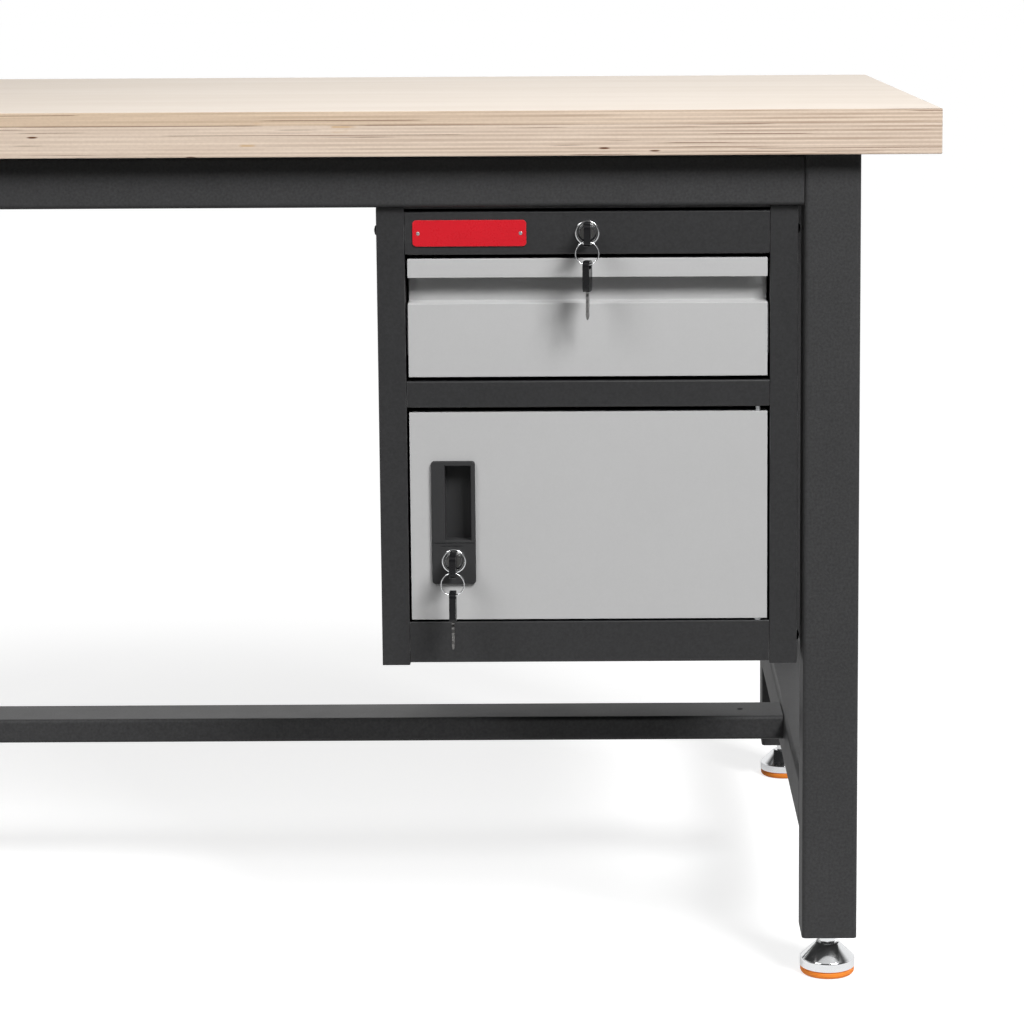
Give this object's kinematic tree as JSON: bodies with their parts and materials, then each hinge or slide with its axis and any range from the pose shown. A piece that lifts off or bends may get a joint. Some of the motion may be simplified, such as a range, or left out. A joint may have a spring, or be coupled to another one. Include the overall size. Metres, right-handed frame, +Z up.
{
  "type": "workbench with a hanging cabinet",
  "caption": "Workbench with a thick plywood top on a steel tube frame with levelling feet, and a hanging steel cabinet under its right half with a lockable drawer above a lockable door.",
  "frame": {"origin": "on the floor, under the middle of the bench's outline seen from above, keys included", "axes": "+Z up, +X to the right along the bench's length, +Y to the back; the drawer and door face -Y"},
  "size_m": [1.5, 0.7662, 0.796],
  "materials": {
    "plywood": "clear-sealed birch plywood",
    "dark_coat": "anthracite powder coat, fine texture, satin",
    "grey_coat": "light grey powder coat, satin",
    "chrome": "polished plating",
    "zinc": "bright zinc plating",
    "orange_rubber": "matt orange rubber",
    "black_plastic": "fine-textured moulded plastic"
  },
  "bodies": {
    "bench": {"worktop": "plywood", "leg_front_left": "dark_coat", "leg_front_right": "dark_coat", "leg_rear_left": "dark_coat", "leg_rear_right": "dark_coat", "upper_side_rail_left": "dark_coat", "upper_side_rail_right": "dark_coat", "lower_side_rail_left": "dark_coat", "lower_side_rail_right": "dark_coat", "front_apron": "dark_coat", "rear_apron": "dark_coat", "stretcher": "dark_coat", "cross_member_left": "dark_coat", "cross_member_right": "dark_coat", "cabinet_side_left": "dark_coat", "cabinet_side_right": "dark_coat", "cabinet_top": "dark_coat", "cabinet_bottom": "dark_coat", "cabinet_back": "dark_coat", "cabinet_top_rail": "dark_coat", "cabinet_mid_rail": "dark_coat", "cabinet_bottom_rail": "dark_coat", "drawer_lock_barrel": "chrome", "slide_outer_left": "zinc", "slide_outer_right": "zinc", "cabinet_bolt_front_left": "zinc", "cabinet_bolt_front_right": "zinc", "cabinet_bolt_rear_left": "zinc", "cabinet_bolt_rear_right": "zinc", "door_pivot_pin_upper": "zinc", "door_pivot_pin_lower": "zinc", "door_magnet": "black_plastic"},
    "drawer": {"drawer_front": "grey_coat", "drawer_tray": "grey_coat", "drawer_lock_strike": "zinc", "slide_inner_left": "zinc", "slide_inner_right": "zinc"},
    "slide_middle": {"slide_middle_left": "zinc", "slide_middle_right": "zinc"},
    "drawer_lock": {"drawer_lock_plug": "chrome", "drawer_lock_cam": "zinc", "drawer_key": "black_plastic"},
    "door": {"door_panel": "grey_coat", "door_handle": "black_plastic", "door_lock_barrel": "chrome"},
    "door_lock": {"door_lock_plug": "chrome", "door_lock_cam": "zinc", "door_key": "black_plastic"},
    "door_ring": {"door_key_ring": "chrome"},
    "door_spare": {"door_spare_key": "black_plastic"},
    "levelling_foot_front_left": {"foot_front_left": "chrome", "foot_pad_front_left": "orange_rubber"},
    "levelling_foot_front_right": {"foot_front_right": "chrome", "foot_pad_front_right": "orange_rubber"},
    "levelling_foot_rear_left": {"foot_rear_left": "chrome", "foot_pad_rear_left": "orange_rubber"},
    "levelling_foot_rear_right": {"foot_rear_right": "chrome", "foot_pad_rear_right": "orange_rubber"}
  },
  "joints": [
    {"name": "foot_screw_front_left", "type": "slide", "parent": "bench", "child": "levelling_foot_front_left", "axis": [0, 0, -1], "range_m": [0, 0.025]},
    {"name": "foot_screw_front_right", "type": "slide", "parent": "bench", "child": "levelling_foot_front_right", "axis": [0, 0, -1], "range_m": [0, 0.025]},
    {"name": "foot_screw_rear_left", "type": "slide", "parent": "bench", "child": "levelling_foot_rear_left", "axis": [0, 0, -1], "range_m": [0, 0.025]},
    {"name": "foot_screw_rear_right", "type": "slide", "parent": "bench", "child": "levelling_foot_rear_right", "axis": [0, 0, -1], "range_m": [0, 0.025]},
    {"name": "drawer_slide", "type": "slide", "parent": "bench", "child": "drawer", "axis": [0, -1, 0], "range_m": [0, 0.4]},
    {"name": "slide_middle_slide", "type": "slide", "parent": "bench", "child": "slide_middle", "axis": [0, -1, 0], "range_m": [0, 0.2]},
    {"name": "door_hinge", "type": "hinge", "parent": "bench", "child": "door", "pos_m": [0.5905, -0.3379, 0.4312], "axis": [0, 0, 1], "range_deg": [0, 110]},
    {"name": "drawer_lock_turn", "type": "hinge", "parent": "bench", "child": "drawer_lock", "pos_m": [0.4388, -0.3419, 0.6863], "axis": [0, 1, 0], "range_deg": [0, 90]},
    {"name": "door_lock_turn", "type": "hinge", "parent": "door", "child": "door_lock", "pos_m": [0.3174, -0.3456, 0.3913], "axis": [0, 1, 0], "range_deg": [0, 90]},
    {"name": "door_ring_swing", "type": "hinge", "parent": "door_lock", "child": "door_ring", "pos_m": [0.3174, -0.3731, 0.38595], "axis": [-1, 0, 0], "range_deg": [-8, 100]},
    {"name": "door_spare_swing", "type": "hinge", "parent": "door_ring", "child": "door_spare", "pos_m": [0.3174, -0.3731, 0.36535], "axis": [-1, 0, 0], "range_deg": [-8, 90]}
  ],
  "couplings": [
    {"joint": "slide_middle_slide", "follows": "drawer_slide", "ratio": 0.5}
  ]
}
